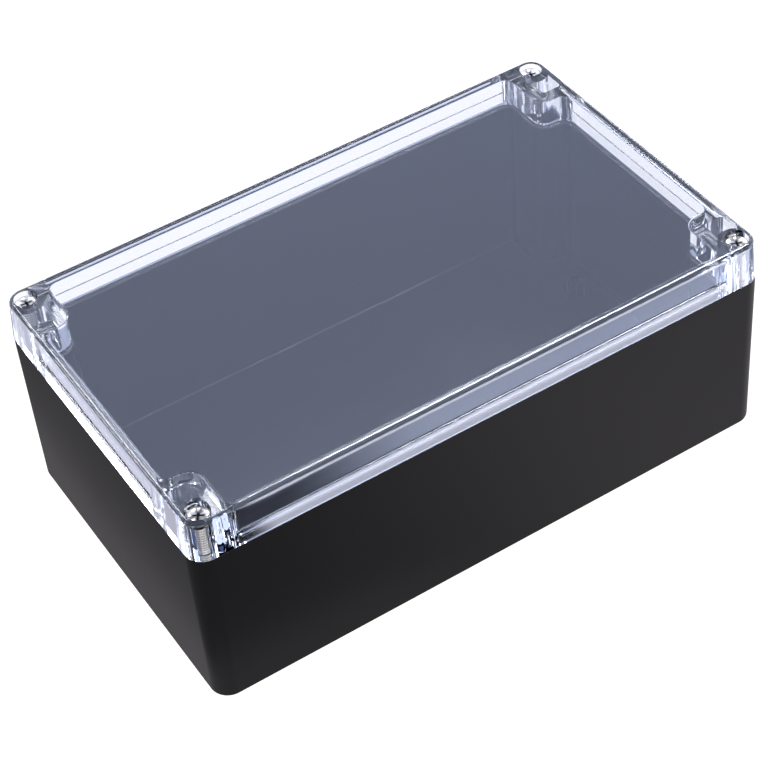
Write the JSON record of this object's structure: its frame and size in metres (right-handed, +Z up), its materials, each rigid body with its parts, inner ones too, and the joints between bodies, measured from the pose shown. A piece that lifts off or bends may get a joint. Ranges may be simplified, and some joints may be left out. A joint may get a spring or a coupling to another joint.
{
  "type": "junction box",
  "caption": "Sealed rectangular junction box: black moulded base, clear raised lid held by long countersunk corner screws, wall-mounting holes beside the screw posts and board supports inside.",
  "frame": {"origin": "middle of the underside of the base", "axes": "+X along the length, +Y along the width towards the back, +Z up through the lid"},
  "size_m": [0.2, 0.12, 0.075],
  "materials": {
    "base_plastic": "satin moulded ABS, near black",
    "clear_plastic": "clear polished polycarbonate with a faint blue tint",
    "seal_rubber": "soft white silicone",
    "screw_steel": "bright nickel plate",
    "insert_brass": "plain turned brass"
  },
  "bodies": {
    "base": {"enclosure_base": "base_plastic", "rim_seal": "seal_rubber", "insert_front_left": "insert_brass", "insert_front_right": "insert_brass", "insert_back_left": "insert_brass", "insert_back_right": "insert_brass"},
    "lid": {"clear_lid": "clear_plastic"},
    "screw_front_left": {"lid_screw_front_left": "screw_steel"},
    "screw_front_right": {"lid_screw_front_right": "screw_steel"},
    "screw_back_left": {"lid_screw_back_left": "screw_steel"},
    "screw_back_right": {"lid_screw_back_right": "screw_steel"}
  },
  "joints": [
    {"name": "lid_lift", "type": "slide", "parent": "base", "child": "lid", "axis": [0, 0, 1], "range_m": [0, 0.05]},
    {"name": "screw_front_left_out", "type": "slide", "parent": "lid", "child": "screw_front_left", "axis": [0, 0, 1], "range_m": [0, 0.033]},
    {"name": "screw_front_right_out", "type": "slide", "parent": "lid", "child": "screw_front_right", "axis": [0, 0, 1], "range_m": [0, 0.033]},
    {"name": "screw_back_left_out", "type": "slide", "parent": "lid", "child": "screw_back_left", "axis": [0, 0, 1], "range_m": [0, 0.033]},
    {"name": "screw_back_right_out", "type": "slide", "parent": "lid", "child": "screw_back_right", "axis": [0, 0, 1], "range_m": [0, 0.033]}
  ]
}
